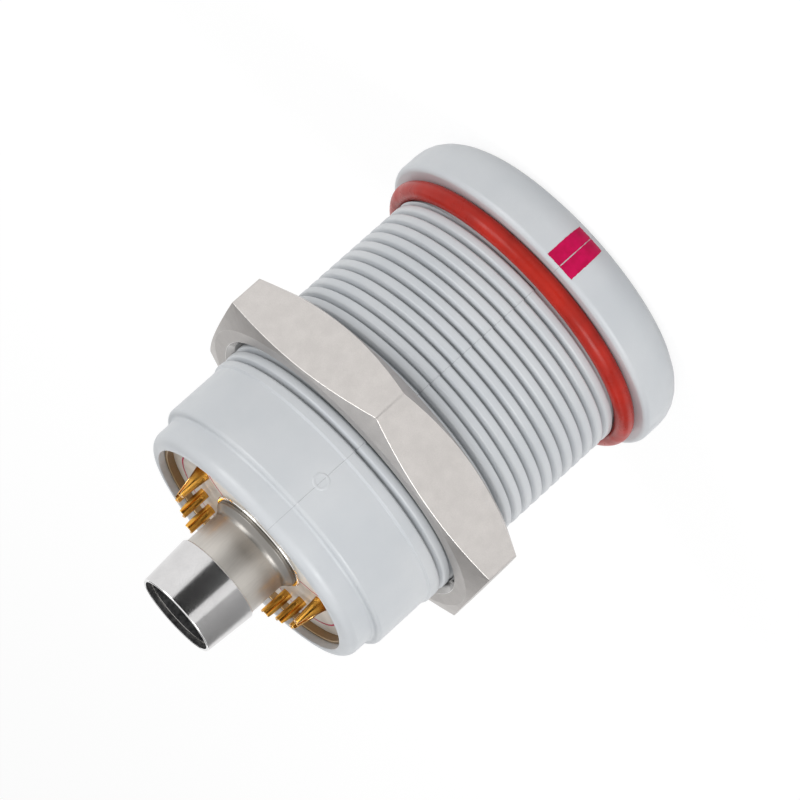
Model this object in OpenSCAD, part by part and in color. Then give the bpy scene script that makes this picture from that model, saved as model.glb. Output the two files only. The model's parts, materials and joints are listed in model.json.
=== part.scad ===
// Panel receptacle of a push pull circular connector, moulded plastic shell.
// It stands on the flange's front face: origin at the centre of that face, +Z towards the cable end,
// -Y towards the coloured key mark. Millimetres.

/* [Flange] */
// Outer diameter of the flange
flange_d = 38.8; // [38:0.2:44]
// Thickness of the flange
flange_t = 6.4; // [5.8:0.1:8]
// Rounding of the flange's front edge
flange_front_round = 3.8; // [2:0.1:4.4]
// Rounding of the flange's rear edge
flange_rear_round = 0.7; // [0.3:0.1:0.9]

/* [Sealing ring] */
// Cord diameter of the ring under the flange
seal_cord = 2.2; // [1.8:0.1:2.4]

/* [Thread] */
// Outside diameter of the shell's thread
thread_d = 33; // [33:0.1:34]
// Pitch of the thread
thread_pitch = 1.5; // [1:0.25:2]
// Depth of the thread
thread_depth = 0.8; // [0.5:0.1:0.9]
// Length of the thread
thread_len = 27; // [24:1.5:36]

/* [Rear barrel] */
// Diameter of the smooth barrel behind the thread
barrel_d = 32.5; // [32.2:0.1:32.8]
// Length of the smooth barrel
barrel_len = 7.1; // [5:0.1:12]
// Rounding of the barrel's end
barrel_round = 0.5; // [0.2:0.1:0.7]
// Diameter of the rear lip at its foot
lip_d = 30.7; // [30.4:0.1:31.6]
// Height of the rear lip
lip_len = 3.4; // [2.6:0.1:4]
// Rounding of the rear lip
lip_round = 1.4; // [0.8:0.1:1.5]
// Taper of the lip's side, on the radius
lip_taper = 0.25; // [0:0.05:0.3]

/* [Socket] */
// Diameter of the socket that takes the plug
socket_d = 25.2; // [24.6:0.1:25.6]
// Depth of the socket down to the inner shoulder
socket_depth = 24.5; // [20:0.5:26]
// Entry chamfer of the socket
socket_chamfer = 0.7; // [0.3:0.1:1]
// Distance from the front face to the latch groove
latch_z = 7; // [5:0.5:8]
// Width of the latch groove
latch_w = 2.5; // [1.5:0.1:3]
// Depth of the latch groove, on the radius
latch_depth = 0.7; // [0.4:0.1:0.9]
// Width of the main keyway, in line with the key mark
key_w = 3.2; // [2:0.1:4]
// Width of the two side keyways
side_key_w = 1.8; // [1.2:0.1:2.4]
// Depth of the keyways, on the radius
key_depth = 0.8; // [0.4:0.1:0.9]
// Angle from the main keyway to each side keyway
side_key_angle = 105; // [60:5:150]

/* [Insert] */
// Diameter of the shell's rear bore, which holds the insert
insert_d = 27.5; // [27:0.1:27.8]
// Thickness of the shell's inner shoulder
shoulder_t = 2; // [1.5:0.1:3]
// Diameter of the contact block that stands in the socket
block_d = 22; // [21:0.1:22.6]
// Distance from the front face to the contact block
block_z = 10.5; // [10:0.1:14]
// Thickness of the front insulator's flange
front_flange_t = 5; // [4:0.1:6]
// Depth of the insert below the rear lip
insert_recess = 1.7; // [1.5:0.1:2.4]
// Height of the retaining ring
ring_h = 3.6; // [3:0.1:4.4]
// Height of the retaining ring above the insulator's rear face
ring_stand = 0.9; // [0.5:0.1:1.2]
// Wall of the retaining ring
ring_wall = 0.4; // [0.3:0.05:0.6]
// Gap between pieces that slide together
fit_gap = 0.03; // [0.02:0.01:0.05]

/* [Contacts] */
// Outside diameter of a signal contact's solder cup
cup_d = 1.25; // [1.1:0.05:1.4]
// Height of the solder cups above the insulator
cup_h = 3.4; // [2.5:0.05:4.5]
// Wall of the solder cups
cup_wall = 0.2; // [0.15:0.05:0.3]
// Outside diameter of a power contact's body
power_d = 1.9; // [1.7:0.05:2]
// Thickness of the collar that locks a contact
contact_collar_t = 1.2; // [0.8:0.1:1.5]
// Width of the collar beyond the contact's body, on the radius
contact_collar_w = 0.35; // [0.25:0.05:0.4]
// Distance from the block's front face to the front end of the contacts
contact_recess = 0.6; // [0.4:0.1:1]
// Depth of the sockets in the contacts' front ends
pin_depth = 6; // [5:0.5:8]

/* [Cable tube] */
// Outside diameter of the tube
tube_d = 10.1; // [9.6:0.1:10.4]
// Length of the tube above the insulator
tube_len = 12; // [10:0.1:16]
// Bore of the tube at the cable end
tube_bore_d = 8.4; // [8:0.1:8.6]
// Depth of the tube's hollow below the open end
tube_bore_depth = 15; // [13:0.5:18]
// Diameter of the tube's foot
tube_foot_d = 11.5; // [11.2:0.1:12]
// Thickness of the tube's foot
tube_foot_t = 0.4; // [0.3:0.05:0.6]
// Diameter of the tube's front sleeve
sleeve_d = 8; // [7.6:0.1:8.4]
// Wall of the front sleeve
sleeve_wall = 0.8; // [0.6:0.05:1]
// Outside diameter of the polished washer under the foot
washer_d = 12.4; // [12:0.1:13]
// Thickness of the polished washer
washer_t = 0.35; // [0.25:0.05:0.5]
// Length of the crimp collar
collar_len = 6; // [5:0.1:8]
// Outside diameter of the collar at its lower end
collar_d = 10.7; // [10.5:0.1:11.2]
// Outside diameter of the collar at the open end
collar_tip_d = 9.9; // [9.8:0.1:10.4]
// Wall of the collar at the open end
collar_wall = 0.35; // [0.3:0.05:0.4]
// Diameter of the centre contact
centre_d = 2; // [1.6:0.1:2.4]

/* [Nut] */
// Width of the nut across its flats
nut_af = 39; // [37.6:0.1:41]
// Thickness of the nut
nut_t = 6.7; // [5:0.1:8]
// Distance from the flange's rear face to the nut
nut_gap = 19.8; // [16:0.1:20.4]
// Turn of the nut's corners about the axis
nut_angle = 32.4; // [0:0.1:60]
// Running clearance between the nut and the thread, on the radius
nut_clearance = 0.06; // [0.03:0.01:0.1]
// Depth of the countersinks of the nut's bore, on the radius
nut_sink = 0.9; // [0.4:0.1:1.2]

/* [Hidden] */
$fn = 96;
// Overlap of a cutting shape with open air
cut = 1;
// Small overlap of two solids of one piece
lap = 0.01;
// Neck that carries the sealing ring, below the thread's crests
neck_set = 0.53;
seal_squeeze = 0.1;
neck_len = seal_cord - seal_squeeze;
neck_r = thread_d / 2 - neck_set;
seal_r = neck_r + fit_gap + seal_cord / 2;
// Heights of the shell's steps
thread_z = flange_t + neck_len;
barrel_z = thread_z + thread_len;
lip_z = barrel_z + barrel_len;
shell_top = lip_z + lip_len;
// Lip, never thinner than the least wall round the insert's bore
least_wall = 0.8;
lip_foot_r = max(lip_d / 2, insert_d / 2 + least_wall);
lip_r = lip_foot_r - lip_taper;
edge_land = 0.05;
rim_round = min(lip_round, lip_r - insert_d / 2 - edge_land);
barrel_chamfer = 0.25;
lead_in = 0.15;
shoulder_z = socket_depth + shoulder_t;
block_gap = 0.1;
key_stop = 1;
// Insert
insert_r = insert_d / 2 - fit_gap;
insert_top = shell_top - insert_recess;
split_z = shoulder_z + front_flange_t;
ring_z = insert_top + ring_stand - ring_h;
ring_inner_r = insert_r - ring_wall;
// Distances of the contacts' axes from the block's edge
outer_edge = 1.1;
middle_edge = 1.93;
inner_edge = 1.66;
power_edge = 1.63;
// Seats of one half's contacts: distance from the block's edge, and angle. The other half mirrors them.
signal_seats = [[inner_edge, 9.9], [middle_edge, 31.9], [outer_edge, 52]];
power_seat = [power_edge, -11.1];
cup_floor = 0.8;
cup_slant = 14;
front_z = block_z + contact_recess;
collar_z = split_z - contact_collar_t;
// Cable tube
tube_z = insert_top + washer_t;
tube_top = insert_top + tube_len;
foot_round = (tube_foot_d - tube_d) / 2;
sleeve_set = 1.5;
sleeve_z = block_z + sleeve_set;
clip_t = 0.8;
clip_set = 0.6;
clip_z = split_z + clip_set;
clip_stand = 0.7;
clip_d = tube_d + 2 * clip_stand;
clip_mouth = 0.7;
groove_depth = 0.55;
groove_d = tube_d - 2 * groove_depth;
collar_z0 = tube_top - collar_len;
collar_bore_d = collar_tip_d - 2 * collar_wall;
tube_neck_d = collar_bore_d - 2 * fit_gap;
dielectric_r = sleeve_d / 2 - sleeve_wall - fit_gap;
dielectric_top = tube_top - tube_bore_depth;
tube_end_set = 0.6;
tube_end_z = tube_top - tube_end_set;
core_set = 1;
core_z = sleeve_z + core_set;
centre_stand = 2.4;
centre_top = dielectric_top + centre_stand;
// Step in the tube's bore that stops the cable short of the centre contact
stop_set = 0.3;
stop_w = 0.4;
stop_z = centre_top + stop_set;
// Nut
nut_z = flange_t + nut_gap;
nut_bore_r = thread_d / 2 + nut_clearance;
nut_front_slope = 28;
nut_rear_slope = 17;
nut_face_step = 0.4;
nut_face_r = nut_af / 2 - nut_face_step;
nut_sink_w = min(nut_sink, nut_face_r - nut_bore_r);

// Points of an arc about [r, z], from one angle to another
function arc(r, z, radius, from, to, steps = 6) =
    [for (i = [0:steps]) let (a = from + (to - from) * i / steps) [r + radius * cos(a), z + radius * sin(a)]];

// Points of one side of the thread: a sharp valley and a rounded crest at every pitch
function thread_points() =
    [for (turn = [0:floor(thread_len / thread_pitch) - 1])
        for (p = [[0, 1], [0.28, 0.1], [0.37, 0], [0.63, 0], [0.72, 0.1]])
            [thread_d / 2 - p[1] * thread_depth, thread_z + (turn + p[0]) * thread_pitch]];

// Cylinder between two heights
module rod(d, z0, z1) {
    translate([0, 0, z0]) cylinder(d = d, h = z1 - z0);
}

// Slot cut into the socket's wall from the front face
module keyway(width) {
    translate([-width / 2, -socket_d / 2 - key_depth, -cut])
        cube([width, socket_d / 2, socket_depth - key_stop + cut]);
}

module shell_outline() {
    polygon(concat(
        [[socket_d / 2, 0]],
        arc(flange_d / 2 - flange_front_round, flange_front_round, flange_front_round, -90, 0, 10),
        arc(flange_d / 2 - flange_rear_round, flange_t - flange_rear_round, flange_rear_round, 0, 90),
        [[neck_r, flange_t], [neck_r, thread_z - lead_in]],
        thread_points(),
        [[thread_d / 2 - thread_depth, barrel_z], [barrel_d / 2 - barrel_chamfer, barrel_z],
            [barrel_d / 2, barrel_z + barrel_chamfer]],
        arc(barrel_d / 2 - barrel_round, lip_z - barrel_round, barrel_round, 0, 90, 4),
        [[lip_foot_r, lip_z]],
        arc(lip_r - rim_round, shell_top - rim_round, rim_round, 0, 90, 8),
        [[insert_d / 2, shell_top], [insert_d / 2, shoulder_z], [block_d / 2 + block_gap, shoulder_z],
            [block_d / 2 + block_gap, socket_depth], [socket_d / 2, socket_depth]]));
}

module shell() {
    color("lightgray") difference() {
        rotate_extrude() shell_outline();
        // Entry chamfer of the socket
        translate([0, 0, -socket_chamfer])
            cylinder(d1 = socket_d + 4 * socket_chamfer, d2 = socket_d, h = 2 * socket_chamfer);
        // Latch groove
        rod(socket_d + 2 * latch_depth, latch_z, latch_z + latch_w);
        // Keyways
        keyway(key_w);
        for (side = [-1, 1]) rotate([0, 0, side * side_key_angle]) keyway(side_key_w);
    }
}

module sealing_ring() {
    color("firebrick") translate([0, 0, flange_t + seal_cord / 2])
        rotate_extrude() translate([seal_r, 0]) circle(d = seal_cord, $fn = 32);
}

module hex_nut() {
    color("silver") difference() {
        intersection() {
            translate([0, 0, nut_z]) rotate([0, 0, nut_angle])
                cylinder(d = nut_af / cos(30), h = nut_t, $fn = 6);
            // Cones that chamfer the corners of both faces
            translate([0, 0, nut_z]) cylinder(r1 = nut_face_r,
                r2 = nut_face_r + nut_t / tan(nut_front_slope), h = nut_t);
            translate([0, 0, nut_z]) cylinder(r1 = nut_face_r + nut_t / tan(nut_rear_slope),
                r2 = nut_face_r, h = nut_t);
        }
        rod(2 * nut_bore_r, nut_z - cut, nut_z + nut_t + cut);
        for (side = [0, 1]) translate([0, 0, nut_z + side * nut_t]) mirror([0, 0, side])
            translate([0, 0, -cut]) cylinder(r1 = nut_bore_r + nut_sink_w + cut, r2 = nut_bore_r,
                h = nut_sink_w + cut);
    }
}

// Moves a shape to a contact's seat, on the right half (side 1) or the left (side -1), turned outwards
module at_seat(seat, side) {
    turn = 90 - side * (90 - seat[1]);
    rotate([0, 0, turn]) translate([block_d / 2 - seat[0], 0, 0]) children();
}

module both_sides(seat) {
    for (side = [-1, 1]) at_seat(seat, side) children();
}

// Holes for all contacts between two heights, wider than the contacts' bodies by a margin
module contact_holes(z0, z1, widening) {
    for (seat = signal_seats) both_sides(seat) rod(cup_d + 2 * fit_gap + 2 * widening, z0, z1);
    both_sides(power_seat) rod(power_d + 2 * fit_gap + 2 * widening, z0, z1);
}

module front_insulator() {
    color("ivory") difference() {
        union() {
            rod(block_d, block_z, split_z);
            rod(2 * insert_r, shoulder_z, split_z);
        }
        contact_holes(block_z - cut, split_z + cut, 0);
        contact_holes(collar_z, split_z + cut, contact_collar_w);
        rod(sleeve_d + 2 * fit_gap, block_z - cut, split_z + cut);
    }
}

module rear_insulator() {
    color("ivory") difference() {
        union() {
            rod(2 * insert_r, split_z, ring_z);
            rod(2 * (ring_inner_r - fit_gap), ring_z, insert_top);
        }
        contact_holes(split_z - cut, insert_top + cut, 0);
        rod(tube_d + 2 * fit_gap, split_z - cut, insert_top + cut);
        rod(clip_d + 2 * fit_gap, split_z - cut, clip_z + clip_t);
    }
}

module retaining_ring() {
    color("tan") difference() {
        rod(2 * insert_r, ring_z, ring_z + ring_h);
        rod(2 * ring_inner_r, ring_z - cut, ring_z + ring_h + cut);
    }
}

// Turned contact: solder cup at the rear, locking collar, bored socket at the front
module contact(body_d) {
    color("goldenrod") difference() {
        union() {
            rod(body_d, front_z, insert_top + (body_d - cup_d) / 2);
            translate([0, 0, insert_top + (body_d - cup_d) / 2])
                cylinder(d1 = body_d, d2 = cup_d, h = body_d - cup_d + lap);
            rod(cup_d, insert_top, insert_top + cup_h);
            rod(body_d + 2 * contact_collar_w, collar_z, split_z);
        }
        // Bore and side cut of the solder cup, open away from the centre
        rod(cup_d - 2 * cup_wall, insert_top + cup_floor, insert_top + cup_h + cut);
        translate([0, 0, insert_top + cup_h]) rotate([0, -cup_slant, 0])
            translate([0, -cup_d, -cup_h]) cube([2 * cup_d, 2 * cup_d, 2 * cup_h]);
        // Socket for the plug's pin
        rod(body_d - 2 * cup_wall, front_z - cut, front_z + pin_depth);
    }
}

module signal_contact(index, side) {
    at_seat(signal_seats[index], side) contact(cup_d);
}

module power_contact(side) {
    at_seat(power_seat, side) contact(power_d);
}

module tube_outline() {
    polygon(concat(
        [[sleeve_d / 2 - sleeve_wall, sleeve_z], [sleeve_d / 2, sleeve_z], [sleeve_d / 2, split_z],
            [tube_d / 2, split_z], [tube_d / 2, tube_z], [tube_foot_d / 2, tube_z],
            [tube_foot_d / 2, tube_z + tube_foot_t]],
        arc(tube_foot_d / 2, tube_z + tube_foot_t + foot_round, foot_round, 270, 180),
        [[tube_d / 2, collar_z0], [tube_neck_d / 2, collar_z0], [tube_neck_d / 2, tube_end_z],
            [tube_bore_d / 2, tube_end_z], [tube_bore_d / 2, stop_z],
            [tube_bore_d / 2 - stop_w, stop_z], [tube_bore_d / 2 - stop_w, dielectric_top],
            [sleeve_d / 2 - sleeve_wall, dielectric_top]]));
}

module tube_body() {
    color("silver") difference() {
        rotate_extrude() tube_outline();
        // Groove for the clip
        difference() {
            rod(tube_d + cut, clip_z, clip_z + clip_t);
            rod(groove_d, clip_z - cut, clip_z + clip_t + cut);
        }
    }
}

module base_washer() {
    color("gainsboro") difference() {
        rod(washer_d, insert_top, tube_z);
        rod(tube_d + 2 * fit_gap, insert_top - cut, tube_z + cut);
    }
}

module crimp_collar() {
    color("lightslategray") difference() {
        translate([0, 0, collar_z0]) cylinder(d1 = collar_d, d2 = collar_tip_d, h = collar_len);
        rod(collar_bore_d, collar_z0 - cut, tube_top + cut);
    }
}

module tube_insulator() {
    color("white") difference() {
        rod(2 * dielectric_r, core_z, dielectric_top);
        rod(centre_d + 2 * fit_gap, sleeve_z, dielectric_top + cut);
    }
}

module centre_contact() {
    color("goldenrod") difference() {
        rod(centre_d, core_z, centre_top);
        rod(centre_d - 4 * cup_wall, sleeve_z, core_z + pin_depth);
    }
}

module tube_clip() {
    color("dimgray") difference() {
        rod(clip_d, clip_z, clip_z + clip_t);
        rod(groove_d + 2 * fit_gap, clip_z - cut, clip_z + clip_t + cut);
        translate([-groove_d * clip_mouth / 2, 0, clip_z - cut])
            cube([groove_d * clip_mouth, clip_d, clip_t + 2 * cut]);
    }
}

shell();
sealing_ring();
hex_nut();
front_insulator();
rear_insulator();
retaining_ring();
signal_contact(0, 1);  // contact_1
signal_contact(1, 1);  // contact_2
signal_contact(2, 1);  // contact_3
signal_contact(0, -1);  // contact_4
signal_contact(1, -1);  // contact_5
signal_contact(2, -1);  // contact_6
power_contact(1);  // power_contact_1
power_contact(-1);  // power_contact_2
tube_body();
base_washer();
crimp_collar();
tube_insulator();
centre_contact();
tube_clip();
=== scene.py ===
# %% [markdown]
# # A panel connector, seen from its cable end
#
# The object is a receptacle of a push pull circular connector. A grey moulded shell carries a round flange,
# a red sealing ring, a long thread with a nickel plated nut, and a smooth barrel. Out of the barrel look
# gold solder contacts and a cable tube with a crimped collar. The frame brings every piece at its true
# size, so this file only has to give each piece its fine shape and its finish.

# %% Load the frame
import json
import math

import bmesh
import bpy
from mathutils import Matrix, Vector, noise


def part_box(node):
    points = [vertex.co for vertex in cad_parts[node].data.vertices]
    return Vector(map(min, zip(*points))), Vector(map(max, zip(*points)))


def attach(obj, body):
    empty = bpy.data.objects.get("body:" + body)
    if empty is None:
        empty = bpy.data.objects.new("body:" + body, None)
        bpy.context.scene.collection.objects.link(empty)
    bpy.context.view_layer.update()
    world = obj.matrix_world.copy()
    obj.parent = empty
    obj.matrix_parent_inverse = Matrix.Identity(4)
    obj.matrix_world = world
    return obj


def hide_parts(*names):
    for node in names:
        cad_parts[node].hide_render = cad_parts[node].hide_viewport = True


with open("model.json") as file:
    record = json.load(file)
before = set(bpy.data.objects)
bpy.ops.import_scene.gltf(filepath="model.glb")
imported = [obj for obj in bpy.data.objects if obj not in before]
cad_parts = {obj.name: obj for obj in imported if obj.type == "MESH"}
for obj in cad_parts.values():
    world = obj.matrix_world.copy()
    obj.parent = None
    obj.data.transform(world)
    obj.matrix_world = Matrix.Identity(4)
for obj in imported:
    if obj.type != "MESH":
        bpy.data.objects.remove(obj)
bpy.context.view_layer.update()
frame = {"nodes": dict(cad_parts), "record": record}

MM = 0.001
print("the frame holds", len(frame["nodes"]), "nodes")

# %% [markdown]
# ## Camera
#
# The connector stands on its flange and the view looks at it a little from above, through a long lens, with
# the camera rolled so that the axis runs across the frame from corner to corner. A tracking constraint
# can't roll, so the three axes of the camera are worked out from an azimuth and an elevation, and
# the roll is one more rotation.

# %% Place the camera
def camera_axes(azimuth, elevation, roll):
    a = math.radians(azimuth)
    e = math.radians(elevation)
    back = Vector((math.sin(a) * math.cos(e), -math.cos(a) * math.cos(e), math.sin(e)))
    right = Vector((0, 0, 1)).cross(back).normalized()
    axes = Matrix((right, back.cross(right), back)).transposed()
    return back, axes @ Matrix.Rotation(math.radians(roll), 3, "Z")


AIM = Vector((1.1, 0, 22.9)) * MM
CAMERA_DISTANCE = 408.8 * MM
back, axes = camera_axes(-1.0, 14.58, -131.96)
camera = bpy.data.objects.new("camera", bpy.data.cameras.new("camera"))
camera.data.lens = 173.5
camera.data.sensor_width = 36
camera.matrix_world = Matrix.Translation(AIM + CAMERA_DISTANCE * back) @ axes.to_4x4()
bpy.context.scene.collection.objects.link(camera)
bpy.context.scene.camera = camera
print("camera at", [round(v, 3) for v in camera.location])

# %% [markdown]
# ## Sizes from the frame
#
# The steps of the shell are read from the boxes of the nodes and from the mounts of the record, and come
# back in millimetres. Only the form that a box can't tell, such as an edge's rounding or a step inside a
# piece, is a number of its own here.

# %% Read the driving sizes
def box_mm(node):
    low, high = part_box(node)
    return low / MM, high / MM


mounts = {mount["name"]: mount for mount in frame["record"]["mounts"]}
shell_high = box_mm("shell")[1]
seal_low, seal_high = box_mm("sealing_ring")
nut_low, nut_high = box_mm("hex_nut")
ring_low, ring_high = box_mm("retaining_ring")
front_low, front_high = box_mm("front_insulator")
tube_low, tube_high = box_mm("tube_body")
collar_low, collar_high = box_mm("crimp_collar")
washer_low, washer_high = box_mm("base_washer")

flange_r = shell_high.x
flange_t = seal_low.z
seal_cord = seal_high.z - seal_low.z
seal_r = seal_high.x - seal_cord / 2
thread_r = mounts["panel_thread"]["dims"]["r_mm"]
thread_len = mounts["panel_thread"]["dims"]["length_mm"]
thread_z = mounts["panel_thread"]["pos_m"][2] / MM - thread_len / 2
barrel_z = thread_z + thread_len
barrel_r = mounts["rear_barrel"]["dims"]["r_mm"]
socket_r = mounts["socket_bore"]["dims"]["r_mm"]
# The retaining ring stands this far off the bore that holds it
RING_GAP = 0.03
insert_r = ring_high.x + RING_GAP
insert_top = washer_low.z
shell_top = shell_high.z
print("thread from", thread_z, "to", barrel_z, "insulator face at", round(insert_top, 2))

# %% [markdown]
# ## Outlines with soft edges
#
# Nearly every piece here was turned or moulded round one axis. The screw tool of Blender could spin a
# profile, but it spins the same profile all the way round, and a nut, a slanted cup or a helix changes its
# profile as it goes. So a small function asks for the outline at each angle and joins the answers into one
# skin. A second function rounds the corners of an outline, because a real edge is never sharp, and marks
# how much of an edge each point is. Materials read that mark for wear and painted highlight on outer edges,
# and for painted shade in inner corners.

# %% Round the corners of an outline
# Half the angle of a corner, in radians, from which it counts as straight
STRAIGHT = 1.56
# Largest share of an edge that its two roundings may use up
EDGE_SHARE = 0.98


def rounded(corners, steps=4):
    """Points (r, z, edge) of a closed outline whose corners (r, z, radius) are rounded.

    The mark is positive on an outer corner and negative in an inner one."""
    places = [Vector(corner[:2]) for corner in corners]
    count = len(corners)
    halves = []
    wanted = []
    for i, (r, z, radius) in enumerate(corners):
        to_last = places[i - 1] - places[i]
        to_next = places[(i + 1) % count] - places[i]
        half = to_last.angle(to_next, math.pi) / 2
        halves.append(half)
        wanted.append(radius / math.tan(half) if half < STRAIGHT else 0.0)
    # Two roundings that meet on a short edge share it
    reaches = list(wanted)
    for i in range(count):
        j = (i + 1) % count
        room = EDGE_SHARE * (places[j] - places[i]).length
        asked = wanted[i] + wanted[j]
        if asked > room:
            reaches[i] = min(reaches[i], wanted[i] * room / asked)
            reaches[j] = min(reaches[j], wanted[j] * room / asked)
    points = []
    for i, (r, z, radius) in enumerate(corners):
        if reaches[i] <= 0:
            points += [(r, z, 0.0)] * (steps + 1 if radius > 0 else 1)
            continue
        to_last = (places[i - 1] - places[i]).normalized()
        to_next = (places[(i + 1) % count] - places[i]).normalized()
        centre = places[i] + (to_last + to_next).normalized() * reaches[i] / math.cos(halves[i])
        start = places[i] + to_last * reaches[i] - centre
        end = places[i] + to_next * reaches[i] - centre
        turn = math.atan2(start.x * end.y - start.y * end.x, start.dot(end))
        for k in range(steps + 1):
            spoke = Matrix.Rotation(turn * k / steps, 2) @ start
            mark = math.copysign(math.sin(math.pi * k / steps), turn)
            points.append((centre.x + spoke.x, centre.y + spoke.y, mark))
    return points


def angles_round(count, extra=()):
    """Angles of a full turn in radians, first and last on the same line, with extra ones in degrees."""
    plain = [math.tau * i / count for i in range(count + 1)]
    more = [math.radians(a) % math.tau for a in extra]
    return sorted(set(plain + more))


# %% Join outlines into a skin
WELD = 0.0002 * MM


def finish_mesh(mesh, sharp):
    """Welds the seam, turns the normals outwards and smooths all but the sharp edges."""
    skin = bmesh.new()
    skin.from_mesh(mesh)
    bmesh.ops.remove_doubles(skin, verts=skin.verts, dist=WELD)
    bmesh.ops.dissolve_degenerate(skin, edges=skin.edges, dist=WELD)
    bmesh.ops.recalc_face_normals(skin, faces=skin.faces)
    skin.to_mesh(mesh)
    skin.free()
    mesh.shade_smooth()
    mesh.set_sharp_from_angle(angle=math.radians(sharp))


def turned(name, outline_at, angles, material, start=0.0, sharp=38, axis=(0, 0)):
    """A skin through the outlines at all angles, turned round an upright axis that stands at axis."""
    columns = [outline_at(a) for a in angles]
    rows = len(columns[0])
    points = []
    marks = []
    for angle, column in zip(angles, columns):
        c = math.cos(angle + start)
        s = math.sin(angle + start)
        points += [((axis[0] + r * c) * MM, (axis[1] + r * s) * MM, z * MM) for r, z, mark in column]
        marks += [mark for r, z, mark in column]
    faces = []
    for j in range(len(angles) - 1):
        for i in range(rows):
            a = j * rows + i
            b = j * rows + (i + 1) % rows
            faces.append((a, a + rows, b + rows, b))
    mesh = bpy.data.meshes.new(name)
    mesh.from_pydata(points, [], faces)
    mesh.attributes.new("edge", "FLOAT", "POINT").data.foreach_set("value", marks)
    finish_mesh(mesh, sharp)
    mesh.materials.append(material)
    piece = bpy.data.objects.new(name, mesh)
    bpy.context.scene.collection.objects.link(piece)
    # Large faces decide the shading, so that a small rounding doesn't bend the light on its neighbours
    piece.modifiers.new("weighted_normals", "WEIGHTED_NORMAL").keep_sharp = True
    print(name, len(mesh.polygons), "faces")
    return piece


def paint_faces(piece, material, inside):
    """Gives the faces whose centre passes a test another material."""
    piece.data.materials.append(material)
    for face in piece.data.polygons:
        if inside(face.center / MM):
            face.material_index = 1


def place(piece, body, slot, *nodes):
    """Hangs a piece on its body and hides the nodes that it stands for; the slot is not used."""
    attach(piece, body)
    if nodes:
        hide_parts(*nodes)


# %% [markdown]
# ## Materials
#
# Each finish is built from nodes: a base colour that drifts a little, a roughness that is never even, and a
# bump at the scale of the real surface. The pattern lies in the object's own space, so it stays on the
# piece when the piece moves. Helpers keep the node code short: `Finish` makes the shader and `grain` a
# noise in millimetres.

# %% Make node materials
class Finish:
    """A Principled material with helpers that add noise, ramps and bump."""

    def __init__(self, name, color, roughness, metallic=0.0, **sockets):
        self.material = bpy.data.materials.new(name)
        self.material.use_nodes = True
        self.nodes = self.material.node_tree.nodes
        self.links = self.material.node_tree.links
        self.shader = self.nodes["Principled BSDF"]
        self.place = self.nodes.new("ShaderNodeTexCoord").outputs["Object"]
        self.set("Base Color", (*color, 1))
        self.set("Roughness", roughness)
        self.set("Metallic", metallic)
        for socket, value in sockets.items():
            self.set(socket.replace("_", " "), value)

    def set(self, socket, value):
        self.shader.inputs[socket].default_value = value

    def grain(self, size_mm, detail=3.0, stretch=(1, 1, 1)):
        """Noise from 0 to 1 whose grains are about size_mm across."""
        scale = self.nodes.new("ShaderNodeMapping")
        scale.inputs["Scale"].default_value = [k / (size_mm * MM) for k in stretch]
        self.links.new(self.place, scale.inputs["Vector"])
        texture = self.nodes.new("ShaderNodeTexNoise")
        texture.inputs["Scale"].default_value = 1.0
        texture.inputs["Detail"].default_value = detail
        self.links.new(scale.outputs["Vector"], texture.inputs["Vector"])
        return texture.outputs["Fac"]

    def edge(self):
        """The mark that tells how much of an edge a point is."""
        node = self.nodes.new("ShaderNodeAttribute")
        node.attribute_name = "edge"
        return node.outputs["Fac"]

    def ramp(self, value, low, high, start, end):
        """A value that runs from start to end while the input goes from low to high."""
        node = self.nodes.new("ShaderNodeMapRange")
        self.links.new(value, node.inputs["Value"])
        node.inputs["From Min"].default_value = low
        node.inputs["From Max"].default_value = high
        node.inputs["To Min"].default_value = start
        node.inputs["To Max"].default_value = end
        return node.outputs["Result"]

    def blend(self, amount, first, second, mode="MIX"):
        """Mixes two colours, or the current colour's socket and a colour, by an amount."""
        node = self.nodes.new("ShaderNodeMix")
        node.data_type = "RGBA"
        node.blend_type = mode
        self.links.new(amount, node.inputs["Factor"])
        for socket, value in ((node.inputs[6], first), (node.inputs[7], second)):
            if isinstance(value, tuple):
                socket.default_value = (*value, 1)
            else:
                self.links.new(value, socket)
        return node.outputs[2]

    def combine(self, kind, first, second):
        """A sum or product of two values."""
        node = self.nodes.new("ShaderNodeMath")
        node.operation = kind
        for socket, value in zip(node.inputs, (first, second)):
            if isinstance(value, (int, float)):
                socket.default_value = value
            else:
                self.links.new(value, socket)
        return node.outputs[0]

    def drive(self, socket, value):
        self.links.new(value, self.shader.inputs[socket])

    def bump(self, height, depth_mm, strength=1.0):
        """Presses a height pattern into the surface, depth_mm deep."""
        node = self.nodes.new("ShaderNodeBump")
        node.inputs["Strength"].default_value = strength
        node.inputs["Distance"].default_value = depth_mm * MM
        self.links.new(height, node.inputs["Height"])
        self.links.new(node.outputs["Normal"], self.shader.inputs["Normal"])


# %% [markdown]
# ### Moulded grey plastic
#
# The shell came out of a polished steel mould: a satin sheen and faint flow clouds. Its colour is painted
# darker deep in the thread's grooves and in inner corners, as painted shade, and along the parting line as a
# thin dark line. Both carry a negative edge mark, so one ramp darkens them.

# %% Shell plastic
def shell_plastic():
    finish = Finish("shell_plastic", (0.56, 0.585, 0.61), 0.38, IOR=1.5)
    clouds = finish.grain(9, 4)
    color = finish.blend(finish.ramp(clouds, 0.35, 0.65, 0, 1), (0.555, 0.58, 0.605), (0.6, 0.62, 0.64))
    # Painted shade deep in the grooves and inner corners, and the dark parting line, from the negative edge
    # mark
    color = finish.blend(finish.ramp(finish.edge(), -1, -0.5, 0.6, 0), color, (0.2, 0.21, 0.22))
    finish.drive("Base Color", color)
    skin = finish.grain(0.35, 4)
    finish.drive("Roughness", finish.ramp(finish.grain(1.6, 3), 0.3, 0.7, 0.32, 0.44))
    finish.bump(skin, 0.006)
    return finish.material


shell_finish = shell_plastic()


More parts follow.
